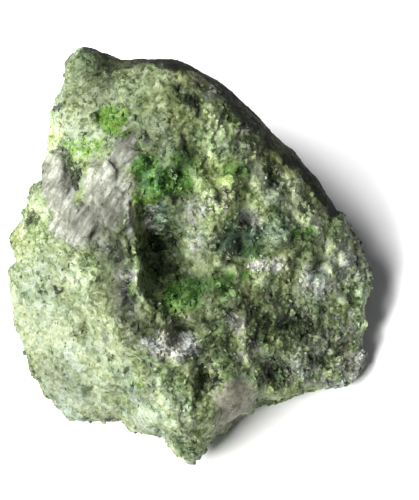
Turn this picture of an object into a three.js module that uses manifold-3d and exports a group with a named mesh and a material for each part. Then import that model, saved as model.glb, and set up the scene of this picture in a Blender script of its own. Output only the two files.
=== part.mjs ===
// A raw lump of granular diopside rock, hand-specimen size: one solid, broken on every side, resting on a
// flat break. Green pyroxene grains are grown together with a pale cleaved calcite plate, beside which a pocket
// drops away steeply.
//
// Millimetres, +Z up, origin at the middle of the underside of the bounding box.
// The lump's broad face leans back from level, so it is laid out in axes of its own:
// across (+X), along (up the face) and out (square to the face), from the middle of the lump.
import * as THREE from "three";
import { ImprovedNoise } from "three/addons/math/ImprovedNoise.js";
import { mergeVertices } from "three/addons/utils/BufferGeometryUtils.js";
import Module from "manifold-3d";

const wasm = await Module();
wasm.setup();

// ---- Driving sizes ----

const FACE_LEAN = THREE.MathUtils.degToRad(25); // how far the broad face leans from level, towards -Y
const MIDDLE_HEIGHT = 12.5; // from the resting face up to the middle of the lump
const EDGE_SHARPNESS = 20; // higher gives sharper edges between the breaks
const SKIN_DETAIL = 17; // subdivision of the skin: 20 * (detail + 1)^2 triangles
const FRONT_SHARE = 0.62; // how much of the skin's triangles the broad face gets
const FRONT_HEIGHT = 8; // rough height of the broad face over the middle, for sharing out the skin
const BACK_HEIGHT = 11; // and of the underside below it
const GIRTH_RADIUS = 22;

const ACROSS = new THREE.Vector3(1, 0, 0);
const ALONG = new THREE.Vector3(0, Math.cos(FACE_LEAN), Math.sin(FACE_LEAN));
const OUT = new THREE.Vector3(0, -Math.sin(FACE_LEAN), Math.cos(FACE_LEAN));

// The girth: the lump's outline seen square to its broad face, as [across, along], anticlockwise.
const GIRTH = [
  [21.8, -0.5], [21.2, 2], [21.3, 4.4], [17.8, 5.9], [18.6, 8.7], [14.6, 11.6], [10.2, 14.6], [6.1, 17.9],
  [2.8, 20.9], [-0.3, 22.8], [-5.9, 24.3], [-9.4, 24.2], [-13.4, 26], [-15.7, 24.7], [-16.1, 21.8],
  [-17.3, 18.7], [-18.4, 15.1], [-18.8, 10.7], [-22.3, 5.7], [-21.1, 0], [-22.1, -3.9], [-21.1, -8.3],
  [-20.4, -13], [-19.6, -16.8], [-16.5, -19.7], [-12, -19.4], [-7.7, -20.9], [-3.5, -22.2],
  [-1.6, -25.2], [0.2, -26.1], [1.7, -22], [4, -21.2], [7.5, -19.2], [11.9, -18.2], [16.9, -16.7],
  [19.6, -16], [23.7, -14.7], [20.5, -10.4], [21.2, -6.9], [21.2, -3.2],
];

// The breaks that bound the lump. Each is a plane: [name, outward direction, distance from the middle].
// On the broad face the direction is given as across, along, out.
const FRONT_BREAKS = [
  ["lower left flank", [-0.6, -0.26, 0.74], 13.6],
  ["upper left face", [-0.5, 0.2, 0.84], 12],
  ["crown", [-0.1, 0.03, 0.99], 8.9],
  ["toe", [-0.2, -0.7, 0.68], 18.5],
  ["main face", [0.49, 0, 0.87], 5.8],
  ["lower right face", [0.41, -0.2, 0.89], 10.2],
  ["upper rim", [0.55, 0.6, 0.58], 15.1],
  ["right rim", [0.68, 0.45, 0.58], 12.8],
  ["top rim", [0.1, 0.76, 0.64], 20.6],
];
// Round the back and underneath it is given as x, y, z.
const BACK_BREAKS = [
  ["back wall", [0.2, 0.97, 0.12], 25],
  ["back undercut", [-0.15, 0.84, -0.52], 22],
  ["back right wall", [0.74, 0.64, -0.2], 18.8],
  ["left undercut", [-0.45, 0.05, -0.89], 16.6],
  ["front left undercut", [-0.3, -0.36, -0.88], 20.5],
  ["right undercut", [0.4, 0.1, -0.91], 18.4],
  ["front right undercut", [0.2, -0.35, -0.92], 19],
];

// ---- Repeatable noise ----

const gradient = new ImprovedNoise();

// Smooth noise in about -1..1 whose lumps are `size` wide.
function swell(p, size, shift) {
  return gradient.noise(p.x / size + shift, p.y / size - shift, p.z / size + 2 * shift);
}

// A repeatable number in 0..1 for a corner of a lattice.
function latticeNumber(corner, seed) {
  const [i, j, k] = corner;
  const s = Math.sin(i * 127.1 + j * 311.7 + k * 74.7 + seed * 53.3) * 43758.5453;
  return s - Math.floor(s);
}

// The height, in -0.5..0.5, of a surface broken into flat facets about `size` wide that meet in creases.
function facets(p, size, seed) {
  const bend = 0.3 * size * swell(p, size * 1.7, seed + 0.5);
  const skew = (p.x + p.y + p.z) / 3 + bend;
  const q = [p.x, p.y, p.z].map((c) => (c + skew) / size);
  const corner = q.map(Math.floor);
  const inside = q.map((c, axis) => c - corner[axis]);
  const order = [0, 1, 2].sort((a, b) => inside[b] - inside[a]);
  let height = latticeNumber(corner, seed) * (1 - inside[order[0]]);
  order.forEach((axis, n) => {
    corner[axis] += 1;
    const next = n < 2 ? inside[order[n + 1]] : 0;
    height += latticeNumber(corner, seed) * (inside[axis] - next);
  });
  return height - 0.5;
}

// ---- The lump before its relief ----

const girthCurve = new THREE.CatmullRomCurve3(
  GIRTH.map(([across, along]) => new THREE.Vector3(across, along, 0)), true, "centripetal",
);
const girthByAngle = girthCurve
  .getPoints(GIRTH.length * 12)
  .slice(1)
  .map((p) => [Math.atan2(p.y, p.x), Math.hypot(p.x, p.y)])
  .sort((a, b) => a[0] - b[0]);

// Distance of the girth from the middle, for each angle round the out axis.
function girthRadius(angle) {
  const after = Math.max(0, girthByAngle.findIndex(([a]) => a > angle));
  const [a1, r1] = girthByAngle[after];
  const [a0, r0] = girthByAngle.at(after - 1);
  const turn = 2 * Math.PI;
  const span = (a1 - a0 + turn) % turn;
  return THREE.MathUtils.lerp(r0, r1, ((angle - a0 + turn) % turn) / span);
}

function fromBroadAxes([across, along, out]) {
  return new THREE.Vector3()
    .addScaledVector(ACROSS, across)
    .addScaledVector(ALONG, along)
    .addScaledVector(OUT, out);
}

const breaks = [
  ...FRONT_BREAKS.map(([, direction, distance]) => [fromBroadAxes(direction).normalize(), distance]),
  ...BACK_BREAKS.map(([, direction, distance]) => [new THREE.Vector3(...direction).normalize(), distance]),
];

// How far the lump reaches from its middle in a direction.
function reach(direction) {
  const across = direction.dot(ACROSS);
  const along = direction.dot(ALONG);
  const sideways = Math.hypot(across, along) / girthRadius(Math.atan2(along, across));
  let sum = sideways ** EDGE_SHARPNESS;
  for (const [normal, distance] of breaks)
    sum += Math.max(0, normal.dot(direction) / distance) ** EDGE_SHARPNESS;
  return sum ** (-1 / EDGE_SHARPNESS);
}

// ---- Relief of the broad face ----

const smooth = THREE.MathUtils.smoothstep;

// A round-ended bump, 1 in its middle and 0 outside, `width` by `height` and turned by `turn` degrees.
function patch(across, along, [midAcross, midAlong, width, height, turn]) {
  const angle = THREE.MathUtils.degToRad(turn);
  const dx = across - midAcross;
  const dy = along - midAlong;
  const x = (dx * Math.cos(angle) + dy * Math.sin(angle)) / (width / 2);
  const y = (dy * Math.cos(angle) - dx * Math.sin(angle)) / (height / 2);
  return 1 - smooth(Math.hypot(x, y), 0.3, 1);
}

// Reads a list of [at, value] pairs, in rising order, with straight lines between them.
function follow(pairs, at) {
  const after = pairs.findIndex(([x]) => x > at);
  if (after === 0) return pairs[0][1];
  if (after === -1) return pairs.at(-1)[1];
  const [x0, value0] = pairs[after - 1];
  const [x1, value1] = pairs[after];
  return THREE.MathUtils.mapLinear(at, x0, x1, value0, value1);
}

// The pocket beside the calcite plate: along the face, where its steep wall stands and how deep it goes.
const POCKET_WALL = [[-7, -4], [-4.8, -4.7], [-3.5, -5.5], [0, -6.5], [4, -6.5], [11, -6.6], [14, -6.3], [17, -6]];
const POCKET_DEPTH = [[-7, 0], [-4.4, 3.4], [-1.6, 5.8], [1, 5.6], [3.8, 3.2], [6, 1.6], [12, 1], [15.5, 0]];
const POCKET_WALL_WIDTH = 0.8;
const POCKET_FLOOR = 3.7; // width of the level floor beside the wall
const POCKET_REACH = 8.6; // from the wall to where the pocket meets the main face

function pocket(across, along) {
  const beyond = across - follow(POCKET_WALL, along);
  const opening = smooth(beyond, 0, POCKET_WALL_WIDTH) * (1 - smooth(beyond, POCKET_FLOOR, POCKET_REACH));
  return follow(POCKET_DEPTH, along) * opening;
}

// Pits and grooves of the broad face: [name, [across, along, width, height, turn], depth].
const PITS = [
  ["pit below the pocket", [-1.6, -8.8, 4.8, 3.8, -25], 2.4],
  ["groove down the toe", [1.5, -14.4, 2.4, 5.4, 12], 1.1],
  ["notch under the top rim", [-10.4, 23, 5, 3, -14], 1.5],
  ["gap in the calcite", [-14.9, 9.4, 2.2, 5.4, 0], 1.6],
  ["hollow of the main face", [6, 2.5, 9, 6, 0], 1],
  ["dark hollow at the right", [13, -9, 9, 5, 5], 1.5],
  ["hollow above the brown face", [9.5, -14.4, 7, 3.6, -8], 1.3],
  ["pinhole of the left flank", [-16.8, -4.4, 2.4, 2.4, 0], 1],
  ["pinhole beside it", [-11.4, -2.4, 2.4, 2.6, 0], 1],
  ["dent of the lower flank", [-10.2, -13, 4, 2.6, 30], 0.8],
  ["dent at the left edge", [-19.8, 4.8, 3, 3.6, 0], 1],
  ["slope of the brown face", [6.8, -20.4, 13, 8.6, 38], 4.6],
  ["trough behind the rim", [9, 9, 3.4, 11, 42], 0.9],
];
// Swellings and ridges of the broad face, in the same form with a rise.
const KNOBS = [
  ["calcite plate", [-12.2, 8, 12, 15, -18], 1],
  ["crest by the pocket", [-8.4, 1, 2.6, 12, 2], 0.9],
  ["lip of the lower pit", [-2.8, -11.8, 6, 2.8, -20], 1.3],
  ["knob at the right edge", [19.6, -1.2, 5, 4, 20], 1.2],
  ["knob at the lower right", [19.6, -13.6, 4.6, 4, 0], 1.2],
  ["swelling beside the pocket", [1.8, 5.4, 5.4, 8, -15], 1.1],
  ["green swelling", [1.8, -4.6, 9, 5.4, 10], 1.3],
  ["brown toe swelling", [5, -18.4, 6, 5, -35], 0.8],
  ["knob of the upper face", [-9, 17.4, 6, 4.6, 10], 0.9],
  ["bench of the right face", [12.6, 1.5, 9, 5, -35], 1],
];

// Cleavage steps of the main face: shallow treads that run along the upper rim, each ending in a sharp drop.
const STEP_DIRECTION = [0.72, 0.69]; // across the steps
const STEP_WIDTH = 4.4;
const STEP_HEIGHT = 0.8;

function steps(across, along) {
  const bend = 1.4 * Math.sin(0.5 * across - 0.4 * along) + 0.7 * Math.sin(1.3 * along + 0.4 * across);
  const distance = (STEP_DIRECTION[0] * across + STEP_DIRECTION[1] * along + bend) / STEP_WIDTH;
  const tread = distance - Math.floor(distance);
  const beside = smooth(across, -2, 4);
  return STEP_HEIGHT * beside * (tread - smooth(tread, 0.8, 1));
}

// How far the broad face stands out from its breaks.
function relief(across, along) {
  let height = steps(across, along) - pocket(across, along);
  for (const [, place, depth] of PITS) height -= depth * patch(across, along, place);
  for (const [, place, rise] of KNOBS) height += rise * patch(across, along, place);
  return height;
}

// ---- The skin ----

const FACETS = [[9, 3.2], [4.4, 2.2], [2.2, 1.6], [1.4, 0.7]]; // [width, height] of the flat facets
const SWELL_WIDTH = 15; // of the softer unevenness under them
const SWELL_HEIGHT = 0.9;
const WORN_FROM = 21; // the weathered rim, in degrees round the lump from across towards along
const WORN_TO = 104;
const WORN_SHARE = 0.7; // how much of the facets' height is worn off there

// Shares the ball's points out so that the flat broad face and the underside are covered evenly.
function shareOut(unit) {
  const behind = (1 - unit.dot(OUT)) / 2;
  const front = behind < FRONT_SHARE;
  const ring = Math.sqrt(front ? behind / FRONT_SHARE : (1 - behind) / (1 - FRONT_SHARE));
  const height = (front ? FRONT_HEIGHT : -BACK_HEIGHT) * (1 - ring ** 4);
  const sideways = unit.clone().addScaledVector(OUT, -unit.dot(OUT));
  return sideways.setLength(Math.max(ring * GIRTH_RADIUS, 1e-9)).addScaledVector(OUT, height).normalize();
}

// How far a place on the skin is worn smooth: 1 along the weathered rim, 0 on the fresh breaks.
function wear(point) {
  const across = point.dot(ACROSS);
  const along = point.dot(ALONG);
  const angle = Math.atan2(along, across);
  const turn = THREE.MathUtils.radToDeg(angle);
  const onRim = smooth(turn, WORN_FROM - 6, WORN_FROM + 6) * (1 - smooth(turn, WORN_TO - 6, WORN_TO + 6));
  return onRim * smooth(Math.hypot(across, along) / girthRadius(angle), 0.82, 0.96);
}

function skinPoint(direction) {
  const point = direction.clone().multiplyScalar(reach(direction));
  let rough = SWELL_HEIGHT * swell(point, SWELL_WIDTH, 1);
  const fresh = 1 - WORN_SHARE * wear(point);
  FACETS.forEach(([size, height], n) => (rough += fresh * height * facets(point, size, n + 3)));
  const facing = smooth(point.dot(OUT) / 10, -0.5, 0.2);
  const lift = facing * relief(point.dot(ACROSS), point.dot(ALONG));
  return point.addScaledVector(direction, rough).addScaledVector(OUT, lift);
}

function makeSkin() {
  const ball = new THREE.IcosahedronGeometry(1, SKIN_DETAIL);
  ball.deleteAttribute("normal");
  ball.deleteAttribute("uv");
  const skin = mergeVertices(ball);
  const position = skin.getAttribute("position");
  const unit = new THREE.Vector3();
  for (let i = 0; i < position.count; i++) {
    const p = skinPoint(shareOut(unit.fromBufferAttribute(position, i).normalize()));
    position.setXYZ(i, p.x, p.y, p.z);
  }
  return skin;
}

// ---- Crystals grown onto the skin ----

const skin = makeSkin();
const skinTarget = new THREE.Mesh(skin, new THREE.MeshBasicMaterial({ side: THREE.DoubleSide }));

// The point of the broad face at a place across and along it, drawn in to the face if that is past its edge.
function onFace(across, along) {
  const above = fromBroadAxes([across, along, 40]);
  const ray = new THREE.Raycaster(above, OUT.clone().negate());
  const [hit] = ray.intersectObject(skinTarget);
  return hit ? hit.point : onFace(0.95 * across, 0.95 * along);
}

// A broken prism with flat faces, its long way up +Z, drawn in at the top, each corner a little out of place.
function prism({ sides, width, depth, length, taper, uneven, seed }) {
  const shape = new THREE.CylinderGeometry(taper / 2, 0.5, 1, sides).rotateX(Math.PI / 2);
  const position = shape.getAttribute("position");
  for (let i = 0; i < position.count; i++) {
    const at = [position.getX(i), position.getY(i), position.getZ(i)];
    const corner = at.map((c) => Math.round(20 * c));
    const shift = (channel) => uneven * (latticeNumber(corner, seed + channel) - 0.5);
    const [x, y, z] = at.map((c, axis) => c + shift(axis));
    position.setXYZ(i, x * width, y * depth, z * length);
  }
  return shape;
}

// Sets a shape that stands on +Z out from the skin, turned and tipped, its middle `proud` of the skin.
function plant(shape, across, along, { turn, tipAcross, tipAlong, proud }) {
  const degrees = THREE.MathUtils.degToRad;
  shape.rotateZ(degrees(turn)).rotateY(degrees(tipAcross)).rotateX(FACE_LEAN - degrees(tipAlong));
  const foot = onFace(across, along).addScaledVector(OUT, proud);
  return shape.translate(foot.x, foot.y, foot.z);
}

// The cleaved calcite blocks: [across, along, width, height, turn, tip across, tip along, proud].
const CALCITE_BLOCKS = [
  [-16.4, 9.2, 4.4, 7, 6, -24, 6, -0.2],
  [-12.6, 8.2, 3.8, 7.6, -16, -20, 2, 0.2],
  [-10.4, 8.8, 3.8, 6.8, -10, 0, 6, 0.2],
  [-8.8, 12.2, 3.2, 6, -24, -6, 0, -0.4],
  [-9.4, 5.2, 4, 6.6, 6, 6, 8, 0],
  [-12.6, 4, 4.8, 5.2, 20, -14, -6, 0],
  [-16.2, 2.8, 5, 3.8, 28, -26, -4, -0.1],
  [-14.8, 6, 3.4, 4, 0, -22, 0, -0.1],
];
const CALCITE_THICKNESS = 3.4;
const CALCITE_FORM = { sides: 6, length: CALCITE_THICKNESS, taper: 0.85, uneven: 0.22 };

function calciteBlocks() {
  return CALCITE_BLOCKS.map(([across, along, width, height, turn, tipAcross, tipAlong, proud], n) => {
    const form = { ...CALCITE_FORM, width, depth: height, seed: n };
    const place = { turn, tipAcross, tipAlong, proud: proud - 0.4 * CALCITE_THICKNESS };
    return plant(prism(form), across, along, place);
  });
}

// Clusters of stubby crystals: [name, [middle across, along], [half width, half height], count, width].
const CLUSTERS = [
  ["emerald crystals of the pocket", [-4.2, 9.4], [2.4, 3], 9, 2.6],
  ["crystals by the lower pit", [-1.6, -11.6], [3, 1.2], 5, 2],
  ["crystals of the right edge", [16.8, -1.2], [3, 2.4], 7, 2.2],
  ["crystals of the main face", [8, 3.4], [6, 6], 8, 2.6],
  ["crystals of the green swelling", [2.4, -4], [4, 3], 6, 2.4],
  ["crystals of the upper left face", [-12, 18], [3.6, 4], 4, 2.2],
  ["crystals of the left flank", [-13, -12], [5, 5], 5, 2.2],
  ["crystals of the lower right", [11.6, -11.4], [6, 2.8], 6, 2.2],
];
const CRYSTAL_FORM = { sides: 6, taper: 0.76, uneven: 0.18 };

function clusterCrystals() {
  const shapes = [];
  CLUSTERS.forEach(([, [midAcross, midAlong], [halfWidth, halfHeight], count, width], seed) => {
    for (let n = 0; n < count; n++) {
      const random = (channel) => latticeNumber([n, seed, channel], 7);
      const across = midAcross + halfWidth * (2 * random(0) - 1);
      const along = midAlong + halfHeight * (2 * random(1) - 1);
      const size = width * (0.75 + 0.6 * random(2));
      const depth = size * (0.7 + 0.5 * random(3));
      const form = { ...CRYSTAL_FORM, width: size, depth, length: 1.7 * size, seed: 10 * seed + n };
      const place = {
        turn: 360 * random(5),
        tipAcross: 80 * (random(6) - 0.5),
        tipAlong: 80 * (random(7) - 0.5),
        proud: -0.42 * size,
      };
      shapes.push(plant(prism(form), across, along, place));
    }
  });
  return shapes;
}

// ---- The solid ----

// Turns a closed shape into a solid that can be joined and cut.
function solid(geometry) {
  const bare = geometry.clone();
  bare.deleteAttribute("normal");
  bare.deleteAttribute("uv");
  const merged = mergeVertices(bare, 1e-4);
  return new wasm.Manifold(
    new wasm.Mesh({
      numProp: 3,
      vertProperties: merged.getAttribute("position").array,
      triVerts: new Uint32Array(merged.index.array),
    }),
  );
}

// And a solid back into a shape.
function shapeOf(made) {
  const mesh = made.getMesh();
  return new THREE.BufferGeometry()
    .setAttribute("position", new THREE.BufferAttribute(new Float32Array(mesh.vertProperties), 3))
    .setIndex(new THREE.BufferAttribute(new Uint32Array(mesh.triVerts), 1));
}

let stone = solid(skin);
for (const shape of [...calciteBlocks(), ...clusterCrystals()]) stone = stone.add(solid(shape));
// A hollow closed in under a crystal is grown full: only the outer shell is kept.
stone = stone.decompose().sort((a, b) => b.volume() - a.volume())[0];

// The flat break that it rests on.
const ROOM = 80;
const below = new THREE.BoxGeometry(ROOM, ROOM, ROOM).translate(0, 0, -ROOM / 2 - MIDDLE_HEIGHT);
stone = stone.subtract(solid(below));

const shape = shapeOf(stone);
shape.computeBoundingBox();
const { min, max } = shape.boundingBox;
shape.translate(-(min.x + max.x) / 2, -(min.y + max.y) / 2, -min.z);
shape.computeVertexNormals();

const rock = new THREE.MeshStandardMaterial({ color: 0x8fa873, roughness: 0.72, metalness: 0 });
const diopside = new THREE.Mesh(shape, rock);
diopside.name = "diopside_stone";

const part = new THREE.Group();
part.add(diopside);

export default part;
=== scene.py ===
import math
import random

import bpy
import numpy as np
from mathutils import Matrix, Vector, noise


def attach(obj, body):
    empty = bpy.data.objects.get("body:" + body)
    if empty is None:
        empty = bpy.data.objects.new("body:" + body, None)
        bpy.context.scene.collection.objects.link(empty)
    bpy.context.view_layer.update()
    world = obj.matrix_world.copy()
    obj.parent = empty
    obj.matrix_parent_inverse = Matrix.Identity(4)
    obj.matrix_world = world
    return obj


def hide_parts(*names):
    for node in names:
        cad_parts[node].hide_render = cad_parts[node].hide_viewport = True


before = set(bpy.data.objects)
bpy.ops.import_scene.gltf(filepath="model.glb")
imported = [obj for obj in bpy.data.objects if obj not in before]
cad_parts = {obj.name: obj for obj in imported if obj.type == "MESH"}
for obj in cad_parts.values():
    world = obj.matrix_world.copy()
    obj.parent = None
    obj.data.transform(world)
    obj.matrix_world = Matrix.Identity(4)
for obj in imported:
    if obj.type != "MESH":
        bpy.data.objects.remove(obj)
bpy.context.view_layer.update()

MM = 0.001

# ---------------------------------------------------------------- the viewing side
LEAN = math.radians(25)
ACROSS = Vector((1.0, 0.0, 0.0))
ALONG = Vector((0.0, math.cos(LEAN), math.sin(LEAN)))
OUT = Vector((0.0, -math.sin(LEAN), math.cos(LEAN)))
MIDDLE = Vector((0.5124, -1.1332, 12.5)) * MM

LENS = 150.0  # in mm, as are the sensor's height and width
SENSOR_TALL = 36.0
SENSOR_WIDE = SENSOR_TALL * 419 / 500
VIEW_TALL = 60.2 * MM  # how much of the viewing side fits in the view, top to bottom
VIEW_AWAY = VIEW_TALL * LENS / SENSOR_TALL
ONE_STEP = VIEW_TALL / 500

# ---------------------------------------------------------------- where each mineral lies
# Oval patches on the viewing side: across, along, half width, half height in mm, turn in degrees,
# and how much of the rock there is that mineral, 0 to 1.
CALCITE = [
    (-10.5, 7.2, 2.8, 4.6, -4, 1.0),
    (-8.8, 12.4, 1.3, 3.0, -30, 1.0),
    (-16.5, 7.6, 1.8, 5.0, 10, 1.0),
    (-13.6, 4.2, 2.8, 2.4, 0, 0.9),
    (-14.6, 2.8, 3.0, 1.7, -14, 0.95),
    (-7.8, 4.8, 0.7, 4.0, 0, 0.8),
    (-10.4, 1.4, 2.2, 1.6, 0, 0.45),
]
EMERALD = [
    (-5.8, 10.1, 1.9, 2.1, 0, 1.0),
    (-4.2, 8.6, 2.9, 1.8, -10, 0.9),
    (-1.9, 8.8, 1.9, 2.2, 20, 0.75),
    (-1.8, 11.2, 2.2, 1.8, 20, 0.55),
    (-1.1, -4.5, 2.8, 2.2, 10, 1.0),
    (-3.0, -1.6, 1.4, 1.4, 0, 0.6),
    (3.0, -3.8, 2.4, 1.8, 0, 0.60),
    (6.0, -2.6, 0.8, 0.7, 0, 0.7),
    (4.8, 10.2, 1.8, 1.4, 0, 0.6),
    (13.2, 2.6, 1.0, 0.9, 0, 0.7),
    (7.0, 0.6, 1.4, 1.2, 0, 0.5),
    (9.6, -8.8, 2.2, 0.9, 0, 0.5),
]
LIME = [
    (-9.7, 16.2, 2.0, 1.7, 0, 1.0),
    (-7.2, -16.0, 1.3, 1.4, 0, 0.45),
    (-13.6, 13.0, 2.9, 1.5, 0, 0.62),
    (-5.4, 6.7, 1.8, 0.5, -4, 0.7),
    (-7.4, -4.8, 1.2, 1.4, 20, 0.5),
    (-18.4, -3.6, 1.2, 2.4, 0, 0.3),
]
# Dark grains, and painted shade: in the pocket beside the calcite wall, the pit, the groove, the
# notch at the top and the gap between the calcite lobes.
DARK_GRAINS_AND_SHADE = [
    (-4.9, 0.6, 1.7, 3.0, 0, 0.6),
    (-3.6, -2.4, 1.9, 2.0, 20, 0.7),
    (-3.6, -4.8, 1.2, 1.0, 0, 0.35),
    (-3.4, 3.2, 0.9, 1.6, 20, 0.7),
    (-7.4, 0.6, 0.7, 1.4, 0, 0.8),
    (-1.2, 7.7, 1.8, 0.9, 30, 0.5),
    (-2.2, -8.0, 2.2, 0.8, -35, 0.8),
    (1.7, -14.8, 1.0, 2.6, 10, 0.75),
    (1.6, -10.6, 1.4, 1.0, 0, 0.5),
    (-10.2, 23.0, 1.9, 1.3, -10, 0.8),
    (-14.8, 9.2, 0.8, 2.0, 0, 0.95),
    (-15.5, 11.9, 0.5, 1.6, 40, 0.6),
    (-16.6, 17.8, 0.6, 0.5, 0, 0.8),
    (-19.6, 4.5, 0.8, 1.2, 0, 0.7),
    (-16.6, -4.2, 0.45, 0.45, 0, 0.8),
    (-11.8, -2.7, 0.5, 0.4, 0, 0.8),
    (-10.2, -12.4, 0.45, 0.45, 0, 0.8),
    (-8.4, -13.9, 0.4, 0.5, 0, 0.8),
    (-10.5, -20.4, 0.6, 0.4, 0, 0.8),
    (9.3, -14.1, 2.1, 2.0, 0, 0.6),
    (15.7, -12.8, 1.3, 1.2, 0, 0.55),
    (11.6, -8.6, 4.8, 2.0, 0, 0.62),
    (6.6, -6.6, 2.6, 1.2, 0, 0.45),
    (-7.5, -8.4, 0.8, 1.8, 20, 0.55),
    (-2.6, 13.0, 1.6, 1.0, 30, 0.4),
    (-8.0, -4.4, 0.9, 2.6, 14, 0.50),
    (3.6, 13.6, 1.6, 1.0, 0, 0.35),
    (9.8, 9.8, 2.4, 1.0, -52, 0.80),
    (4.2, 16.9, 2.4, 1.0, -52, 0.80),
    (7.2, 13.4, 2.0, 0.9, -48, 0.70),
    (-0.4, 18.6, 1.8, 0.9, -35, 0.65),
    (13.6, 6.2, 1.8, 0.8, -50, 0.60),
    (0.0, -23.4, 1.0, 1.0, 0, 0.5),
]
TEAL = [
    (5.4, 1.6, 3.4, 2.2, 0, 0.85),
    (9.6, 2.8, 2.6, 1.8, 0, 0.7),
    (-3.9, 5.0, 1.3, 1.6, 0, 0.8),
    (0.0, 2.2, 1.9, 1.0, 0, 0.5),
    (12.6, -6.8, 3.0, 2.6, 0, 0.5),
    (10.8, -13.6, 3.8, 2.0, 0, 0.5),
]
TAN_AND_SHADE = [
    (-2.8, 21.4, 5.2, 1.3, -6, 0.8),
    (2.4, 20.4, 2.0, 1.2, -35, 0.9),
    (5.4, 17.0, 3.0, 1.8, -42, 0.7),
    (10.0, 11.8, 4.6, 1.6, -48, 0.85),
    (14.4, 6.6, 3.4, 1.4, -48, 0.75),
    # This oval and the one at (-7.0, -8.6) are olive ground beside the ridge and painted shade
    # where that side turns from the light.
    (-9.6, -4.4, 2.8, 3.2, 30, 1.0),
    (8.6, -4.8, 2.8, 1.3, 0, 0.55),
    (-7.0, -8.6, 2.4, 4.4, 34, 0.95),
    (-10.4, 1.2, 2.8, 2.2, 0, 0.85),
    (-4.6, -12.0, 2.0, 2.4, 30, 0.7),
    (-12.0, 20.6, 2.6, 1.2, -10, 0.5),
]
MATTE = [
    (4.8, -17.4, 2.2, 2.9, -38, 1.0),
    (2.8, -19.8, 1.8, 1.6, -35, 0.5),
]
FROST = [
    (-1.9, -10.8, 2.7, 1.9, 0, 1.0),
    (-4.6, -11.0, 1.8, 1.5, 0, 0.85),
    (-8.0, -2.4, 1.5, 1.2, 0, 0.7),
    (0.2, 5.6, 1.9, 2.3, -20, 0.45),
    (2.8, 6.6, 2.0, 1.8, 0, 0.5),
    (0.3, 1.6, 1.2, 0.9, 0, 0.6),
    (-5.2, 4.6, 1.1, 1.9, 0, 0.7),
    (6.4, 4.2, 1.7, 1.4, 0, 0.65),
    (8.8, -1.3, 2.7, 1.2, 0, 0.75),
    (4.9, -8.1, 1.3, 1.2, 0, 0.85),
    (5.5, -12.0, 1.1, 1.2, 0, 0.65),
    (15.0, -3.3, 3.0, 1.6, 0, 0.55),
    (18.8, -1.2, 2.4, 2.6, 0, 0.6),
    (19.8, -13.4, 1.5, 2.2, 0, 0.95),
    (15.7, -15.6, 3.2, 0.8, 0, 0.7),
    (13.6, -1.8, 1.2, 1.0, 0, 0.5),
    (11.6, -13.4, 4.4, 2.2, 0, 0.55),
    (16.2, -10.2, 4.6, 4.2, 0, 0.45),
    (6.6, -10.6, 1.6, 1.6, 0, 0.5),
    (2.0, 19.4, 0.6, 0.8, 0, 0.7),
    (5.8, 15.4, 1.2, 0.9, -30, 0.60),
    (-8.4, -9.0, 0.4, 2.6, 34, 0.55),
    (-5.2, -13.0, 0.4, 2.2, 34, 0.55),
    (1.6, -13.4, 1.4, 2.2, 0, 0.45),
]
# Pale rock, and painted light: the lit left flank is made paler than its own colour, and faces on
# the right that turn from the light are lightened.
PALE_AND_LIT = [
    (-14.4, -12.0, 6.6, 11.5, 38, 1.0),
    (-12.4, 16.6, 4.0, 5.0, 0, 0.75),
    (-16.6, -1.6, 3.4, 4.0, 0, 0.9),
    (-6.0, -19.0, 5.0, 4.4, 0, 1.0),
    (-1.8, -19.4, 1.6, 3.4, 10, 0.9),
    (11.4, 8.0, 3.6, 6.4, 40, 0.75),
    (6.0, 11.6, 4.6, 3.0, -40, 0.45),
    (20.4, -4.4, 1.1, 3.6, 0, 0.9),
    (19.0, -13.0, 1.8, 2.4, 0, 0.8),
    (15.6, -3.4, 3.6, 2.8, 0, 0.75),
    (5.6, -15.4, 3.0, 1.4, 0, 0.4),
]
# The weathered rim follows the top edge, its near-black partly painted shade where the rim turns
# from the light: across, along and half its width, in mm.
RIM_LINE = [
    (-12.6, 24.9, 0.8), (-10.2, 23.4, 1.4), (-7.6, 23.4, 0.9), (-5.0, 23.5, 0.5), (-0.6, 22.7, 0.5),
    (2.0, 21.5, 0.8), (4.8, 18.9, 1.3), (8.1, 15.3, 1.3), (11.4, 11.8, 1.0), (14.8, 8.3, 0.9),
    (16.9, 5.4, 0.8),
]
# The crust is weathering and painted shade, as on the rim.
BEHIND_RIM = 2.2  # how much further the weathered crust reaches round the back of the rim, in mm
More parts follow.
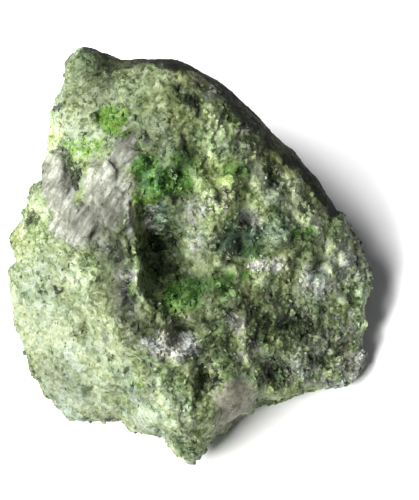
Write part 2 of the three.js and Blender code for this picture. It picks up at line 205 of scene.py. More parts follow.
# Painted light and shade, with some true changes of colour: places made lighter where faces sit in
# more shade than they should, and darker in hollows and on faces turned from the light; an oval,
# and how much is added to 1.
LIGHT_AND_SHADE_TONES = [
    (-13.0, 20.4, 3.0, 2.4, 0, -0.25),
    (-11.6, 23.0, 2.6, 1.6, 0, -0.35),
    (-8.0, 22.2, 2.2, 1.0, -6, -0.30),
    (-2.8, 21.6, 2.0, 1.0, -6, 0.55),
    (-10.0, 18.6, 1.8, 2.6, 0, -0.20),
    (-5.0, 15.0, 4.0, 3.8, 20, -0.45),
    (-3.4, 20.0, 3.6, 1.2, 0, -0.25),
    (3.4, 16.2, 3.0, 1.6, -30, 0.80),
    (0.9, 12.6, 1.6, 3.4, -20, 0.85),
    (2.8, 10.2, 3.2, 2.4, 0, 0.45),
    (4.4, 6.4, 3.2, 2.8, 0, 0.95),
    (-0.6, 5.4, 1.9, 2.6, 0, -0.38),
    (12.8, 5.8, 3.2, 2.0, -48, 1.00),
    (-17.4, 13.2, 1.0, 3.0, 0, 0.60),
    (-16.9, 7.6, 1.4, 4.4, 10, 0.08),
    (-11.6, 10.0, 2.6, 2.6, 0, 0.25),
    (-11.6, 4.2, 3.2, 1.8, 0, -0.35),
    (-7.6, 5.0, 0.8, 3.4, 0, 0.85),
    (-9.0, -2.4, 2.0, 3.8, 10, -0.40),
    (-9.6, 0.8, 2.4, 1.8, 0, -0.38),
    (-14.8, 9.0, 0.9, 2.0, 0, -0.40),
    (20.3, -4.0, 1.0, 3.6, 0, 0.80),
    (-18.4, 4.4, 2.4, 3.4, 0, 0.25),
    (-7.8, -6.4, 1.9, 3.2, 14, -0.45),
    (-5.2, -9.4, 1.6, 2.4, 0, -0.40),
    (-5.6, -14.0, 1.0, 2.4, 10, -0.25),
    (-6.6, -16.5, 1.8, 1.0, 0, -0.35),
    (-5.3, -0.8, 1.6, 5.0, -8, 0.65),
    (-2.2, 0.6, 1.3, 4.2, 8, -0.45),
    (1.2, 0.6, 1.6, 1.3, 0, -0.30),
    (0.8, -4.8, 2.4, 5.0, 0, -0.45),
    (5.6, -2.6, 2.2, 3.4, 0, 0.80),
    (8.2, -4.8, 1.0, 1.2, 0, -0.35),
    (8.4, -1.5, 2.4, 1.0, 0, 0.60),
    (10.8, 0.8, 1.8, 0.8, 0, -0.35),
    (12.4, -7.6, 4.4, 2.0, 0, -0.15),
    (15.8, -3.4, 2.6, 1.7, 0, 0.50),
    (7.8, -8.6, 1.1, 5.0, 0, -0.35),
    (3.8, -11.0, 1.1, 1.2, 0, -0.45),
    (4.9, -8.1, 1.3, 1.1, 0, 0.50),
    (9.8, -11.6, 1.3, 4.2, 0, 0.55),
    (-2.3, -10.6, 2.4, 1.7, 0, 1.10),
    (-0.4, -8.4, 1.6, 0.9, 0, -0.35),
    (-0.2, -13.2, 1.8, 1.6, 0, 0.60),
    (-3.8, -14.6, 1.2, 1.2, 0, 0.35),
    (17.8, -13.8, 2.0, 2.0, 0, 0.35),
    (-2.2, -17.8, 2.4, 3.0, 0, 0.45),
    (2.2, -20.6, 1.0, 1.2, 0, -0.35),
    (8.0, -12.6, 1.0, 1.8, 0, -0.25),
    (14.6, -11.4, 1.6, 2.4, 0, -0.42),
    (19.8, -10.0, 1.3, 5.4, 0, 0.90),
    (-16.2, -15.4, 3.4, 2.2, -30, -0.30),
    (-14.4, -2.0, 1.8, 2.0, 0, 0.20),
]

# The minerals, each growing over those before it; pale, tan, the rind and dark also carry painted
# light and shade.
MINERALS = ["pale", "tan", "teal", "rind_and_shade", "frost", "lime", "emerald", "dark", "matte", "calcite"]
PATCHES = {"pale": PALE_AND_LIT, "tan": TAN_AND_SHADE, "teal": TEAL, "frost": FROST, "lime": LIME, "emerald": EMERALD,
           "dark": DARK_GRAINS_AND_SHADE, "matte": MATTE, "calcite": CALCITE}

# ---------------------------------------------------------------- how the surface is broken
SKIN_MESH = 0.28 * MM  # width of the skin's mesh squares
EVENING_ROUNDS = 22  # how often the main face is evened out
CHIP_TOP = 0.12 * MM  # the most that a chip stands out
# Chips of three sizes: their width, how steep they lie, how far they are raised or sunk, and where
# their pattern starts.
CHIPS = [
    (2.6 * MM, 0.32, 0.12 * MM, 0.0),
    (1.3 * MM, 0.28, 0.06 * MM, 13 * MM),
    (0.75 * MM, 0.28, 0.035 * MM, 29 * MM),
]
COARSE_GRAIN = 0.62 * MM  # width of the larger crystals in the rock
FINE_GRAIN = 0.30 * MM  # and of the smaller ones between them
FINEST_GRAIN = 0.22 * MM  # width of the flaws within one loose-edged grain
STREAK_HEIGHT = 0.17 * MM  # of the calcite's cleavage streaks
TREAD_HEIGHT = 0.07 * MM  # and of the small steps between them


# ---------------------------------------------------------------- small helpers
def only(piece):
    """Deselects everything, then selects one piece and makes it the active one."""
    if bpy.context.object and bpy.context.object.mode != "OBJECT":
        bpy.ops.object.mode_set(mode="OBJECT")
    bpy.ops.object.select_all(action="DESELECT")
    piece.select_set(True)
    bpy.context.view_layer.objects.active = piece


def apply_all(piece):
    """Applies a piece's modifiers from the top down."""
    only(piece)
    for modifier in list(piece.modifiers):
        bpy.ops.object.modifier_apply(modifier=modifier.name)


def put(tree, kind, *inputs, **settings):
    """Adds a node. Each input is (its name or number, a value or another node's output)."""
    made = tree.nodes.new(kind)
    for name, value in settings.items():
        setattr(made, name, value)
    for key, value in inputs:
        if isinstance(value, bpy.types.NodeSocket):
            tree.links.new(value, made.inputs[key])
        else:
            made.inputs[key].default_value = value
    return made


def sums(tree, operation, first, second=0.0, third=0.0, clamp=False):
    """One Math node's result."""
    made = put(tree, "ShaderNodeMath", (0, first), (1, second), (2, third), operation=operation,
               use_clamp=clamp)
    return made.outputs[0]


def vectors(tree, operation, first, second=None, scale=None):
    """One Vector Math node; its result is a vector, or a number for DOT_PRODUCT."""
    given = [(key, value) for key, value in ((0, first), (1, second), ("Scale", scale))
             if value is not None]
    made = put(tree, "ShaderNodeVectorMath", *given, operation=operation)
    return made.outputs["Value"] if operation == "DOT_PRODUCT" else made.outputs["Vector"]


def new_group(name, kind, inputs, outputs):
    """A node group with named sockets: (name, socket type) pairs. Gives group, inlet, outlet."""
    group = bpy.data.node_groups.new(name, kind)
    for label, socket in inputs:
        group.interface.new_socket(label, in_out="INPUT", socket_type=socket)
    for label, socket in outputs:
        group.interface.new_socket(label, in_out="OUTPUT", socket_type=socket)
    return group, group.nodes.new("NodeGroupInput"), group.nodes.new("NodeGroupOutput")


# ---------------------------------------------------------------- masks on the skin
def drift(points, size, seed):
    """A value for each point that wanders smoothly between about -1 and 1 over this size."""
    shift = Vector((seed * 7.31, seed * 3.17, seed * 1.73))
    return np.array([noise.noise(Vector(p) / size + shift) for p in points])


def smooth(low, high, values):
    """0 below low, 1 above high, and a smooth step between."""
    t = np.clip((values - low) / (high - low), 0.0, 1.0)
    return t * t * (3.0 - 2.0 * t)


def oval_weight(seen, ovals):
    """1 inside a list of ovals, 0 outside, a half on their edges."""
    weight = np.zeros(len(seen))
    for across, along, wide, tall, turn, share in ovals:
        spin = math.radians(turn)
        right = seen[:, 0] - across
        up = seen[:, 1] - along
        x = (right * math.cos(spin) + up * math.sin(spin)) / wide
        y = (up * math.cos(spin) - right * math.sin(spin)) / tall
        weight = np.maximum(weight, share * (1.0 - smooth(0.4, 1.6, np.hypot(x, y))))
    return weight


def light_and_shade_at(seen):
    """What the colour is multiplied by at each point: painted light and shade, and some true
    changes of colour.
    """
    tone = np.ones(len(seen))
    for across, along, wide, tall, turn, change in LIGHT_AND_SHADE_TONES:
        tone += change * oval_weight(seen, [(across, along, wide, tall, turn, 1.0)])
    return tone


def line_weight(seen, line):
    """1 on a line through (across, along, half width) points, 0 well away from it."""
    weight = np.zeros(len(seen))
    for start, end in zip(line[:-1], line[1:]):
        a = np.array(start[:2])
        step = np.array(end[:2]) - a
        t = np.clip((seen - a) @ step / (step @ step), 0.0, 1.0)
        away = np.hypot(*(seen - a - t[:, None] * step).T)
        half = start[2] + (end[2] - start[2]) * t
        weight = np.maximum(weight, 1.0 - smooth(0.5, 1.5, away / half))
    return weight


def as_seen(points):
    """Where each point shows on the viewing side, in mm across and along."""
    local = points - np.array(MIDDLE)
    near = VIEW_AWAY / (VIEW_AWAY - local @ np.array(OUT))
    return np.stack([local @ np.array(ACROSS) * near, local @ np.array(ALONG) * near], 1) / MM


def point_arrays(piece):
    """The places and normals of a mesh's points."""
    count = len(piece.data.vertices)
    places = np.empty(count * 3)
    normals = np.empty(count * 3)
    piece.data.vertices.foreach_get("co", places)
    piece.data.vertices.foreach_get("normal", normals)
    return places.reshape(-1, 3), normals.reshape(-1, 3)


def set_on_underside(piece):
    """Brings up any point that lies below the flat underside."""
    places, _ = point_arrays(piece)
    places[:, 2] = np.maximum(places[:, 2], 0.0)
    piece.data.vertices.foreach_set("co", places.ravel())
    piece.data.update()


def on_viewing_side(normals):
    """1 where the surface faces the viewer, 0 where it is turned away."""
    return smooth(-0.25, 0.2, normals @ np.array(OUT))


def store(piece, name, values):
    """Keeps one number for each point of the mesh under a name."""
    layer = piece.data.attributes.new(name, "FLOAT", "POINT")
    layer.data.foreach_set("value", np.asarray(values, dtype=np.float32))


def paint_minerals(piece):
    """Works out how much of each mineral grows at each point, on the viewing side and round it."""
    places, normals = point_arrays(piece)
    facing = on_viewing_side(normals)
    wander = np.stack([drift(places, 1.7 * MM, 1), drift(places, 1.7 * MM, 2)], 1) * 0.7
    seen = as_seen(places) + wander
    broad = drift(places, 7 * MM, 3)
    middling = drift(places, 3.5 * MM, 4)
    fine = drift(places, 2.2 * MM, 5)
    hidden = 1.0 - facing
    front = {name: oval_weight(seen, ovals) for name, ovals in PATCHES.items()}
    # The dark rim: weathered crust, and painted shade where it turns from the light.
    front["rind_and_shade"] = line_weight(seen, RIM_LINE)
    back_side = smooth(-2 * MM, 12 * MM, places[:, 1] - MIDDLE[1])
    crust_and_shade_line = [(across, along, half + BEHIND_RIM) for across, along, half in RIM_LINE]
    behind_rim = line_weight(seen, crust_and_shade_line)
    round_it = {
        "pale": smooth(0.0, 0.5, broad),
        "tan": smooth(0.1, 0.5, -broad) * 0.7,
        "teal": smooth(0.15, 0.5, middling) * 0.6,
        "rind_and_shade": np.maximum(smooth(0.2, 0.8, back_side - 0.5 * middling - 0.3 * fine), behind_rim),
        "frost": smooth(0.25, 0.5, fine) * 0.7,
        "lime": smooth(0.35, 0.55, -fine) * 0.7,
        "emerald": smooth(0.3, 0.55, middling * 0.6 - fine * 0.6) * 0.9,
        "dark": smooth(0.3, 0.5, -middling) * 0.8,
        "matte": smooth(0.35, 0.5, drift(places, 6 * MM, 6)),
        "calcite": smooth(0.3, 0.42, drift(places, 9 * MM, 7)),
    }
    for name in ("frost", "lime", "emerald", "matte", "calcite"):
        round_it[name] *= 1.0 - 0.8 * round_it["rind_and_shade"]
    share = {name: front[name] * facing + round_it[name] * hidden for name in MINERALS}
    for name in MINERALS:
        store(piece, name, share[name])
    held = smooth(0.05 * MM, 0.9 * MM, places[:, 2])
    smoothest = np.maximum(np.maximum(share["matte"], 0.8 * share["calcite"]), 0.9 * share["rind_and_shade"])
    store(piece, "relief", held * (1.0 - 0.8 * smoothest))
    store(piece, "room", held * (1.0 - np.maximum(share["matte"], share["rind_and_shade"])))
    # Painted light and shade on the viewing side, kept under "tone".
    store(piece, "tone", 1.0 + (light_and_shade_at(seen) - 1.0) * facing)


# ---------------------------------------------------------------- the skin of the lump
def facet_group():
    """Tilts small cells of a surface at random, as crystal faces and chips lie."""
    group, inlet, outlet = new_group(
        "chipped_faces", "GeometryNodeTree",
        [("Geometry", "NodeSocketGeometry"), ("Cell", "NodeSocketFloat"),
         ("Tilt", "NodeSocketFloat"), ("Lift", "NodeSocketFloat"), ("Shift", "NodeSocketFloat")],
        [("Geometry", "NodeSocketGeometry")])
    place = put(group, "GeometryNodeInputPosition").outputs[0]
    moved = vectors(group, "ADD", place, inlet.outputs["Shift"])
    fineness = sums(group, "DIVIDE", 1.0, inlet.outputs["Cell"])
    cells = put(group, "ShaderNodeTexVoronoi", ("Vector", moved), ("Scale", fineness),
                feature="F1", voronoi_dimensions="3D")
    leaning = vectors(group, "SUBTRACT", cells.outputs["Color"], (0.5, 0.5, 0.5))
    from_centre = vectors(group, "SUBTRACT", moved, cells.outputs["Position"])
    slope = vectors(group, "DOT_PRODUCT", from_centre, leaning)
    tilted = sums(group, "MULTIPLY", slope, inlet.outputs["Tilt"])
    parts = put(group, "ShaderNodeSeparateXYZ", (0, leaning))
    raised = sums(group, "MULTIPLY", parts.outputs[0], inlet.outputs["Lift"])
    height = sums(group, "MINIMUM", sums(group, "ADD", tilted, raised), CHIP_TOP)
    relief = put(group, "GeometryNodeInputNamedAttribute", ("Name", "relief"), data_type="FLOAT")
    kept = sums(group, "MULTIPLY", height, relief.outputs["Attribute"])
    outward = put(group, "GeometryNodeInputNormal").outputs[0]
    offset = vectors(group, "SCALE", outward, scale=kept)
    shaped = put(group, "GeometryNodeSetPosition", ("Geometry", inlet.outputs["Geometry"]),
                 ("Offset", offset))
    group.links.new(shaped.outputs["Geometry"], outlet.inputs["Geometry"])
    return group


def chip(piece, group, cell, tilt, lift, shift):
    """Adds one size of chipped faces to a piece."""
    modifier = piece.modifiers.new("chipped_faces", "NODES")
    modifier.node_group = group
    values = {"Cell": cell, "Tilt": tilt, "Lift": lift, "Shift": shift}
    for item in group.interface.items_tree:
        if item.in_out == "INPUT" and item.name in values:
            modifier[item.identifier] = values[item.name]


def level_main_face(piece):
    """Evens out the small swellings of the main face, which is broken flatter than the rest."""
    places, normals = point_arrays(piece)
    share = on_viewing_side(normals) * smooth(-3.0, 1.0, as_seen(places)[:, 0])
    steps = np.round(share * 10).astype(int)
    group = piece.vertex_groups.new(name="main_face")
    for step in range(1, 11):
        group.add(np.flatnonzero(steps == step).tolist(), step / 10, "REPLACE")
    evened = piece.modifiers.new("evened", "SMOOTH")
    evened.vertex_group = group.name
    evened.factor = 0.5
    evened.iterations = EVENING_ROUNDS
    apply_all(piece)
    piece.vertex_groups.clear()


def make_skin():
    """The whole surface of the lump, closed, with its chips and crystal faces."""
    skin = bpy.data.objects.new("stone_skin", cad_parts["diopside_stone"].data.copy())
    bpy.context.scene.collection.objects.link(skin)
    skin.data.materials.clear()
    only(skin)
    bpy.ops.object.mode_set(mode="EDIT")
    bpy.ops.mesh.select_all(action="SELECT")
    bpy.ops.mesh.remove_doubles(threshold=0.001 * MM)
    bpy.ops.object.mode_set(mode="OBJECT")
    mesh_over = skin.modifiers.new("fine_mesh", "REMESH")
    mesh_over.mode = "VOXEL"
    mesh_over.voxel_size = SKIN_MESH
    apply_all(skin)
    level_main_face(skin)
    paint_minerals(skin)
    chips = facet_group()
    for size in CHIPS:
        chip(skin, chips, *size)
    apply_all(skin)
    set_on_underside(skin)
    return skin


# ---------------------------------------------------------------- loose-edged grains
def chipped_block(name, size, cuts, seed):
    """One crystal grain: a block whose corners are broken off, a few faces in all."""
    bpy.ops.object.select_all(action="DESELECT")
    bpy.ops.mesh.primitive_cube_add(size=1.0, location=(0, 0, 0))
    block = bpy.context.object
    block.name = name
    block.scale = size
    bpy.ops.object.transform_apply(location=False, rotation=False, scale=True)
    dice = random.Random(seed)
    bpy.ops.object.mode_set(mode="EDIT")
    for _ in range(cuts):
        way = Vector([dice.uniform(-1, 1) for _ in range(3)]).normalized()
        reach = max(abs(way.x) * size[0], abs(way.y) * size[1], abs(way.z) * size[2]) * 0.5
        bpy.ops.mesh.select_all(action="SELECT")
        bpy.ops.mesh.bisect(plane_co=way * reach * dice.uniform(0.8, 1.1), plane_no=way,
                            use_fill=True, clear_outer=True)
    bpy.ops.object.mode_set(mode="OBJECT")
    block.hide_render = True
    return block


def scatter_group(name, blocks, density, smallest, largest, where, avoid, seed, spin, lying, depth):
    """Plants grains on a surface, sunk a little, and makes one mesh of them."""
    group, inlet, outlet = new_group(
        name, "GeometryNodeTree", [("Geometry", "NodeSocketGeometry")],
        [("Geometry", "NodeSocketGeometry")])

    def layer(label):
        made = put(group, "GeometryNodeInputNamedAttribute", ("Name", label), data_type="FLOAT")
        return made.outputs["Attribute"]

    amount = sums(group, "MULTIPLY", layer("room"), density / (MM * MM))
    if where:
        strongest = layer(where[0])
        for label in where[1:]:
            strongest = sums(group, "MAXIMUM", strongest, layer(label))
        amount = sums(group, "MULTIPLY", amount, sums(group, "POWER", strongest, 1.5))
    for label in avoid:
        without = sums(group, "SUBTRACT", 1.0, layer(label), clamp=True)
        amount = sums(group, "MULTIPLY", amount, without)
    planted = put(group, "GeometryNodeDistributePointsOnFaces", ("Mesh", inlet.outputs["Geometry"]),
                  ("Density", amount), ("Seed", seed), distribute_method="RANDOM")
    choices = put(group, "GeometryNodeJoinGeometry")
    for block in reversed(blocks):
        single = put(group, "GeometryNodeObjectInfo", ("Object", block), ("As Instance", True))
        group.links.new(single.outputs["Geometry"], choices.inputs[0])
    turn = put(group, "FunctionNodeRandomValue", ("Seed", seed + 1), data_type="FLOAT_VECTOR")
    round_about = spin if lying else math.pi
    turn.inputs[0].default_value = (-spin, -spin, -round_about)
    turn.inputs[1].default_value = (spin, spin, round_about)
    turned = put(group, "FunctionNodeEulerToRotation", (0, turn.outputs[0]))
    upright = planted.outputs["Rotation"]
    if lying:
        laid = put(group, "FunctionNodeEulerToRotation", (0, lying))
        upright = put(group, "FunctionNodeAlignRotationToVector", ("Rotation", laid.outputs[0]),
                      ("Vector", planted.outputs["Normal"]), axis="Z").outputs[0]
    facing = put(group, "FunctionNodeRotateRotation", ("Rotation", upright),
                 ("Rotate By", turned.outputs[0]), rotation_space="LOCAL")
    grown = put(group, "FunctionNodeRandomValue", ("Seed", seed + 2), data_type="FLOAT")
    grown.inputs[2].default_value = 0.0
    grown.inputs[3].default_value = 1.0
    uneven = sums(group, "POWER", grown.outputs[1], 2.0)
    size = sums(group, "MULTIPLY_ADD", uneven, (largest - smallest) * MM, smallest * MM)
    inward = vectors(group, "SCALE", planted.outputs["Normal"],
                     scale=sums(group, "MULTIPLY", size, -depth))
    sunk = put(group, "GeometryNodeSetPosition", ("Geometry", planted.outputs["Points"]),
               ("Offset", inward))
    stood = put(group, "GeometryNodeInstanceOnPoints", ("Points", sunk.outputs["Geometry"]),
                ("Instance", choices.outputs[0]), ("Pick Instance", True),
                ("Rotation", facing.outputs[0]), ("Scale", size))
    chance = put(group, "FunctionNodeRandomValue", ("Seed", seed + 3), data_type="FLOAT_VECTOR")
    kept = put(group, "GeometryNodeStoreNamedAttribute", ("Geometry", stood.outputs["Instances"]),
               ("Name", "grain"), ("Value", chance.outputs[0]),
               data_type="FLOAT_VECTOR", domain="INSTANCE")
    whole = put(group, "GeometryNodeRealizeInstances", ("Geometry", kept.outputs["Geometry"]))
    group.links.new(whole.outputs["Geometry"], outlet.inputs["Geometry"])
    return group


def plant(skin, name, blocks, density, smallest, largest, where=(), avoid=(), seed=1, spin=0.5,
          lying=None, depth=0.28):
    """A piece of many small grains on the skin: so many to a square mm, their sizes in mm."""
    grains = bpy.data.objects.new(name, skin.data.copy())
    bpy.context.scene.collection.objects.link(grains)
    grains.data.materials.clear()
    modifier = grains.modifiers.new("planted", "NODES")
    modifier.node_group = scatter_group(name, blocks, density, smallest, largest, where, avoid,
                                        seed, spin, lying, depth)
    apply_all(grains)
    set_on_underside(grains)
    return grains


# ---------------------------------------------------------------- finishes
def cell_group():
    """Crystal grains inside the rock: a chance value for each grain and the tilt of its face."""
    group, inlet, outlet = new_group(
        "rock_grain", "ShaderNodeTree",
        [("Vector", "NodeSocketVector"), ("Grain Size", "NodeSocketFloat"),
         ("Tilt", "NodeSocketFloat"), ("Ragged", "NodeSocketFloat")],
        [("Chance", "NodeSocketColor"), ("Height", "NodeSocketFloat")])
    fineness = sums(group, "DIVIDE", 1.0, inlet.outputs["Grain Size"])
    wobble = put(group, "ShaderNodeTexNoise", ("Vector", inlet.outputs["Vector"]),
                 ("Scale", fineness), ("Detail", 2.0))
    centred = vectors(group, "SUBTRACT", wobble.outputs["Color"], (0.5, 0.5, 0.5))
    amount = sums(group, "MULTIPLY", inlet.outputs["Ragged"], inlet.outputs["Grain Size"])
    shifted = vectors(group, "ADD", inlet.outputs["Vector"],
                      vectors(group, "SCALE", centred, scale=amount))
    cells = put(group, "ShaderNodeTexVoronoi", ("Vector", shifted), ("Scale", fineness),
                feature="F1", voronoi_dimensions="3D")
    leaning = vectors(group, "SUBTRACT", cells.outputs["Color"], (0.5, 0.5, 0.5))
    from_centre = vectors(group, "SUBTRACT", shifted, cells.outputs["Position"])
    slope = vectors(group, "DOT_PRODUCT", from_centre, leaning)
    height = sums(group, "MULTIPLY", slope, inlet.outputs["Tilt"])
    group.links.new(cells.outputs["Color"], outlet.inputs["Chance"])
    group.links.new(height, outlet.inputs["Height"])
    return group


# Which way the bands of the rock run and how far its mottling is drawn out: along the bands, across
# them, and out of the face.
BAND = (ACROSS * 0.66 - ALONG * 0.75).normalized()
BANDING = Matrix((BAND, OUT.cross(BAND), OUT)).transposed().to_euler()
BAND_STRETCH = (1.5, 0.8, 0.85)
# Which way the calcite's cleavage runs and how large its streaks are, in the same order.
STREAK = (ACROSS * 0.5 + ALONG * 0.866).normalized()
CLEAVAGE = Matrix((STREAK, OUT.cross(STREAK), OUT)).transposed().to_euler()
STREAK_SIZE = (2.6 * MM, 0.55 * MM, 0.75 * MM)


def streak_group():
    """The cleaved look of calcite: long streaks, broken across by finer ones."""
    group, inlet, outlet = new_group(
        "cleavage_streaks", "ShaderNodeTree", [("Vector", "NodeSocketVector")],
        [("Streak", "NodeSocketFloat"), ("Step", "NodeSocketFloat")])
    laid = put(group, "ShaderNodeMapping", ("Vector", inlet.outputs["Vector"]),
               ("Rotation", CLEAVAGE), ("Scale", STREAK_SIZE), vector_type="TEXTURE")
    streaks = put(group, "ShaderNodeTexNoise", ("Vector", laid.outputs[0]), ("Scale", 1.0),
                  ("Detail", 4.0), ("Roughness", 0.62))
    broken = put(group, "ShaderNodeTexVoronoi", ("Vector", laid.outputs[0]), ("Scale", 0.8),
                 feature="F1", voronoi_dimensions="3D")
    tread = put(group, "ShaderNodeSeparateColor", (0, broken.outputs["Color"])).outputs[0]
    group.links.new(streaks.outputs["Fac"], outlet.inputs["Streak"])
    group.links.new(tread, outlet.inputs["Step"])
    return group


# Each mineral's colour where it is dark, middling and light, and how ragged its border is.
COLOURS = {
    # pale is pale rock and painted light on the lit left flank and on faces turned from the light.
    "pale": ((0.055, 0.076, 0.030), (0.149, 0.179, 0.104), (0.268, 0.293, 0.221), 0.9),
    # tan also carries the painted shade beside the ridge.
    "tan": ((0.020, 0.027, 0.008), (0.072, 0.086, 0.034), (0.180, 0.195, 0.105), 1.1),
    "teal": ((0.018, 0.036, 0.020), (0.052, 0.086, 0.052), (0.150, 0.190, 0.135), 1.2),
    # The rind's near-black colours are weathered crust and painted shade where the rim turns from
    # the light.
    "rind_and_shade": ((0.003, 0.004, 0.002), (0.011, 0.013, 0.007), (0.050, 0.054, 0.032), 1.1),
    "frost": ((0.060, 0.062, 0.052), (0.160, 0.163, 0.142), (0.345, 0.350, 0.315), 1.1),
    "lime": ((0.022, 0.060, 0.005), (0.072, 0.150, 0.016), (0.200, 0.280, 0.075), 1.0),
    "emerald": ((0.004, 0.017, 0.003), (0.022, 0.072, 0.009), (0.110, 0.200, 0.048), 1.0),
    # dark is dark grains and painted shade in the pocket, pit, groove and notches.
    "dark": ((0.005, 0.007, 0.002), (0.019, 0.026, 0.009), (0.062, 0.076, 0.038), 1.1),
    "matte": ((0.086, 0.085, 0.056), (0.166, 0.162, 0.118), (0.262, 0.258, 0.202), 0.4),
    "calcite": ((0.074, 0.077, 0.055), (0.132, 0.137, 0.108), (0.245, 0.252, 0.216), 0.8),
}
# The common green rock: where each colour stands in the run of shade, and the colour.
GREENS = [
    (0.00, (0.012, 0.020, 0.007)),
    (0.20, (0.045, 0.068, 0.024)),
    (0.42, (0.100, 0.133, 0.056)),
    (0.62, (0.161, 0.196, 0.096)),
    (0.82, (0.230, 0.262, 0.155)),
    (1.00, (0.365, 0.390, 0.305)),
]
WARMER = (1.04, 1.0, 0.76)
COOLER = (0.93, 1.0, 1.17)


def colour_run(tree, shade, steps):
    """A ramp from the darkest colour of a list to its lightest."""
    made = put(tree, "ShaderNodeValToRGB", ("Fac", shade))
    ramp = made.color_ramp
    while len(ramp.elements) < len(steps):
        ramp.elements.new(0.5)
    for spot, (start, colour) in zip(ramp.elements, steps):
        spot.position = start
        spot.color = (*colour, 1.0)
    return made.outputs["Color"]


def mixed(tree, amount, first, second):
    """Two colours mixed."""
    made = put(tree, "ShaderNodeMix", (0, amount), (6, first), (7, second), data_type="RGBA")
    return made.outputs[2]


def mineral_group(cleavage):
    """The colour of the rock, grain by grain, from the minerals kept on the mesh."""
    group, inlet, outlet = new_group(
        "mineral_colour", "ShaderNodeTree",
        [("Vector", "NodeSocketVector"), ("Chance", "NodeSocketColor"),
         ("Second Chance", "NodeSocketColor")],
        [("Color", "NodeSocketColor"), ("Roughness", "NodeSocketFloat")])
    banded = put(group, "ShaderNodeMapping", ("Vector", inlet.outputs["Vector"]),
                 ("Rotation", BANDING), ("Scale", BAND_STRETCH), vector_type="TEXTURE").outputs[0]
    clouds = []
    for size, detail, roughness in ((4.6 * MM, 3.0, 0.6), (1.4 * MM, 5.0, 0.74)):
        mottling = put(group, "ShaderNodeTexNoise", ("Vector", banded),
                       ("Scale", 1.0 / size), ("Detail", detail), ("Roughness", roughness))
        clouds.append(put(group, "ShaderNodeSeparateColor", (0, mottling.outputs["Color"])).outputs)
    first = put(group, "ShaderNodeSeparateColor", (0, inlet.outputs["Chance"])).outputs
    second = put(group, "ShaderNodeSeparateColor", (0, inlet.outputs["Second Chance"])).outputs

    def blend_of(channel, *weights):
        total = sum(weights) * -0.5
        for source, weight in zip((clouds[0], clouds[1], first, second), weights):
            total = sums(group, "MULTIPLY_ADD", source[channel], weight, total)
        return total

    shade = sums(group, "ADD", blend_of(0, 1.4, 1.2, 0.36, 0.36), 0.5, clamp=True)
    streaks = put(group, "ShaderNodeGroup", ("Vector", inlet.outputs["Vector"]), node_tree=cleavage)
    streaked = sums(group, "MULTIPLY_ADD", streaks.outputs["Streak"], 2.6,
                    blend_of(1, 1.1, 1.1, 0.0, 0.30))
    streaked = sums(group, "ADD", streaked, -0.86, clamp=True)
    warmth = sums(group, "ADD", blend_of(2, 1.9, 1.6, 0.2, 0.0), 0.5, clamp=True)
    hue = mixed(group, warmth, (*COOLER, 1.0), (*WARMER, 1.0))
    colour = colour_run(group, shade, GREENS)
    for number, name in enumerate(MINERALS):
        dark, middling, light, ragged = COLOURS[name]
        kept = put(group, "ShaderNodeAttribute", attribute_name=name).outputs["Fac"]
        stray = blend_of(number % 3, 0.9, 1.2, 0.45, 0.2)
        chosen = sums(group, "MULTIPLY_ADD", stray, ragged, kept)
        crisp = 2.2 if name == "calcite" else 3.4
        inside = sums(group, "MULTIPLY_ADD", chosen, crisp, 0.5 - 0.5 * crisp, clamp=True)
        amount = streaked if name == "calcite" else shade
        tone = colour_run(group, amount, [(0.08, dark), (0.5, middling), (0.92, light)])
        if name == "matte":  # all but the matte patch and the calcite vary from warm to cool
            colour = vectors(group, "MULTIPLY", colour, hue)
        colour = mixed(group, inside, colour, tone)
    # The colour is scaled by the painted light and shade kept under "tone".
    light_and_shade_scale = put(group, "ShaderNodeAttribute", attribute_name="tone").outputs["Fac"]
    colour = vectors(group, "SCALE", colour, scale=light_and_shade_scale)
    group.links.new(colour, outlet.inputs["Color"])
    rind_and_shade = put(group, "ShaderNodeAttribute", attribute_name="rind_and_shade").outputs["Fac"]
    dullness = sums(group, "MULTIPLY_ADD", rind_and_shade, 0.4, 0.34)
    surface_roughness = sums(group, "MULTIPLY_ADD", second[1], 0.4, dullness)
    group.links.new(surface_roughness, outlet.inputs["Roughness"])
    return group


def new_material(name):
    """An empty material with its surface shader."""
    material = bpy.data.materials.new(name)
    material.use_nodes = True
    return material, material.node_tree, material.node_tree.nodes["Principled BSDF"]


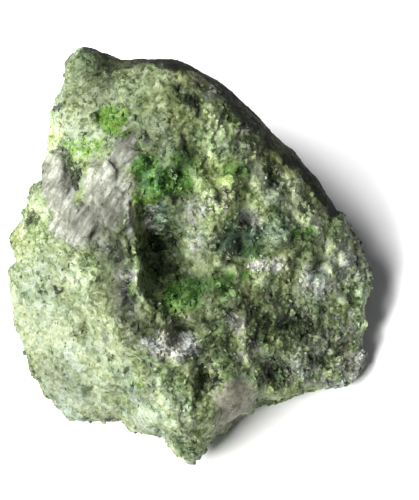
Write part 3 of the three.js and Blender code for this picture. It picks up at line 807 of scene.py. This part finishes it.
def stone_material(grain, minerals, cleavage):
    """The rock itself: sugary crystals of two sizes, each with its own colour and facet."""
    material, tree, surface = new_material("diopside_rock")
    place = put(tree, "ShaderNodeTexCoord").outputs["Object"]
    coarse = put(tree, "ShaderNodeGroup", node_tree=grain)
    fine = put(tree, "ShaderNodeGroup", node_tree=grain)
    for made, size, tilt in ((coarse, COARSE_GRAIN, 0.55), (fine, FINE_GRAIN, 0.4)):
        tree.links.new(place, made.inputs["Vector"])
        made.inputs["Grain Size"].default_value = size
        made.inputs["Tilt"].default_value = tilt
        made.inputs["Ragged"].default_value = 0.9
    colours = put(tree, "ShaderNodeGroup", node_tree=minerals)
    tree.links.new(place, colours.inputs["Vector"])
    tree.links.new(coarse.outputs["Chance"], colours.inputs["Chance"])
    tree.links.new(fine.outputs["Chance"], colours.inputs["Second Chance"])
    tree.links.new(colours.outputs["Color"], surface.inputs["Base Color"])
    tree.links.new(colours.outputs["Roughness"], surface.inputs["Roughness"])
    height = sums(tree, "ADD", coarse.outputs["Height"], fine.outputs["Height"])
    relief = put(tree, "ShaderNodeAttribute", attribute_name="relief").outputs["Fac"]
    height = sums(tree, "MULTIPLY", height, relief)
    cleaved = put(tree, "ShaderNodeGroup", ("Vector", place), node_tree=cleavage)
    treads = sums(tree, "MULTIPLY_ADD", cleaved.outputs["Step"], TREAD_HEIGHT,
                  sums(tree, "MULTIPLY", cleaved.outputs["Streak"], STREAK_HEIGHT))
    calcite = put(tree, "ShaderNodeAttribute", attribute_name="calcite").outputs["Fac"]
    height = sums(tree, "MULTIPLY_ADD", treads, calcite, height)
    bump = put(tree, "ShaderNodeBump", ("Height", height), ("Distance", 1.0), ("Strength", 0.38))
    tree.links.new(bump.outputs["Normal"], surface.inputs["Normal"])
    surface.inputs["Specular IOR Level"].default_value = 0.22
    return material


def grain_material(grain, minerals, name):
    """Single crystals: one colour each, with a finer grain only in the gloss and bump."""
    material, tree, surface = new_material(name)
    place = put(tree, "ShaderNodeTexCoord").outputs["Object"]
    own = put(tree, "ShaderNodeAttribute", attribute_name="grain").outputs["Color"]
    fine = put(tree, "ShaderNodeGroup", node_tree=grain)
    tree.links.new(place, fine.inputs["Vector"])
    fine.inputs["Grain Size"].default_value = FINEST_GRAIN
    fine.inputs["Tilt"].default_value = 0.6
    fine.inputs["Ragged"].default_value = 0.6
    colours = put(tree, "ShaderNodeGroup", node_tree=minerals)
    tree.links.new(place, colours.inputs["Vector"])
    tree.links.new(own, colours.inputs["Chance"])
    tree.links.new(fine.outputs["Chance"], colours.inputs["Second Chance"])
    tree.links.new(colours.outputs["Color"], surface.inputs["Base Color"])
    tree.links.new(colours.outputs["Roughness"], surface.inputs["Roughness"])
    bump = put(tree, "ShaderNodeBump", ("Height", fine.outputs["Height"]), ("Distance", 1.0),
               ("Strength", 0.6))
    tree.links.new(bump.outputs["Normal"], surface.inputs["Normal"])
    surface.inputs["Specular IOR Level"].default_value = 0.3
    return material


# ---------------------------------------------------------------- the floor, light and camera
def make_floor():
    """A plain pale floor under the lump."""
    bpy.ops.object.select_all(action="DESELECT")
    bpy.ops.mesh.primitive_plane_add(size=3.0, location=(0, 0, 0))
    floor = bpy.context.object
    floor.name = "floor"
    material, _, surface = new_material("pale_floor")
    surface.inputs["Base Color"].default_value = (0.9, 0.9, 0.9, 1.0)
    surface.inputs["Roughness"].default_value = 0.9
    floor.data.materials.append(material)


def soft_light(name, round_to, rise_to, size, power, colour=(1.0, 1.0, 1.0), away=0.55):
    """A square soft light: degrees round from the left to the front, and up from the floor."""
    data = bpy.data.lights.new(name, "AREA")
    data.size = size
    data.energy = power
    data.color = colour
    lamp = bpy.data.objects.new(name, data)
    bpy.context.scene.collection.objects.link(lamp)
    turn = math.radians(round_to)
    rise = math.radians(rise_to)
    level = math.cos(rise)
    way = Vector((-level * math.cos(turn), -level * math.sin(turn), math.sin(rise)))
    lamp.location = MIDDLE + way * away
    lamp.rotation_euler = (-way).to_track_quat("-Z", "Y").to_euler()


def make_light():
    """Two soft lights, one high on the left and one lower at the front left, and a faint fill."""
    soft_light("left_light", round_to=-10, rise_to=54, size=0.20, power=4.9)
    soft_light("front_light", round_to=40, rise_to=38, size=0.24, power=6.3,
               colour=(1.0, 1.0, 0.98))
    world = bpy.data.worlds.new("pale_room")
    bpy.context.scene.world = world
    world.use_nodes = True
    back = world.node_tree.nodes["Background"]
    back.inputs["Color"].default_value = (0.93, 0.93, 1.0, 1.0)
    back.inputs["Strength"].default_value = 0.12
    bpy.context.scene.view_settings.view_transform = "Standard"


def make_camera():
    """A long lens that looks straight at the viewing side."""
    data = bpy.data.cameras.new("front_camera")
    data.lens = LENS
    data.sensor_fit = "HORIZONTAL"
    data.sensor_width = SENSOR_WIDE
    data.clip_start = 0.01
    camera = bpy.data.objects.new("front_camera", data)
    bpy.context.scene.collection.objects.link(camera)
    aim = MIDDLE + ACROSS * (14.5 * ONE_STEP) + ALONG * (5.0 * ONE_STEP)
    camera.location = aim + OUT * VIEW_AWAY
    camera.rotation_euler = Matrix((ACROSS, ALONG, OUT)).transposed().to_euler()
    bpy.context.scene.camera = camera


# ---------------------------------------------------------------- putting it together
make_camera()
make_light()
make_floor()

stone = make_skin()
grain_cells = cell_group()
cleavage = streak_group()
minerals = mineral_group(cleavage)
stone.data.materials.append(stone_material(grain_cells, minerals, cleavage))
stone.data.polygons.foreach_set("use_smooth", [True] * len(stone.data.polygons))
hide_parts("diopside_stone")
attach(stone, "root")

blocks = [
    chipped_block("block_stout", (1.0, 0.9, 0.8), 4, 3),
    chipped_block("block_long", (0.7, 0.8, 1.5), 4, 8),
    chipped_block("block_flat", (1.2, 1.0, 0.5), 4, 15),
]
plates = [
    chipped_block("plate_long", (1.4, 0.8, 0.34), 6, 21),
    chipped_block("plate_broad", (1.2, 1.0, 0.32), 6, 25),
]
finish = grain_material(grain_cells, minerals, "diopside_crystals")
pieces = [
    plant(stone, "sugar_grains", blocks, density=0.8, smallest=0.25, largest=0.6,
          avoid=("calcite",), seed=11, spin=0.5),
    plant(stone, "crystal_grains", blocks, density=2.2, smallest=0.3, largest=0.95,
          where=("emerald", "lime", "teal", "dark"), avoid=("calcite",), seed=31, spin=0.7),
    plant(stone, "frost_grains", blocks, density=2.0, smallest=0.3, largest=0.75,
          where=("frost",), seed=51, spin=1.2),
    plant(stone, "calcite_plates", plates, density=0.4, smallest=0.5, largest=1.4,
          where=("calcite",), seed=71, spin=0.06, lying=CLEAVAGE, depth=0.18),
]
for piece in pieces:
    piece.data.materials.clear()
    piece.data.materials.append(finish)
    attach(piece, "root")
for block in blocks + plates:
    bpy.data.objects.remove(block)
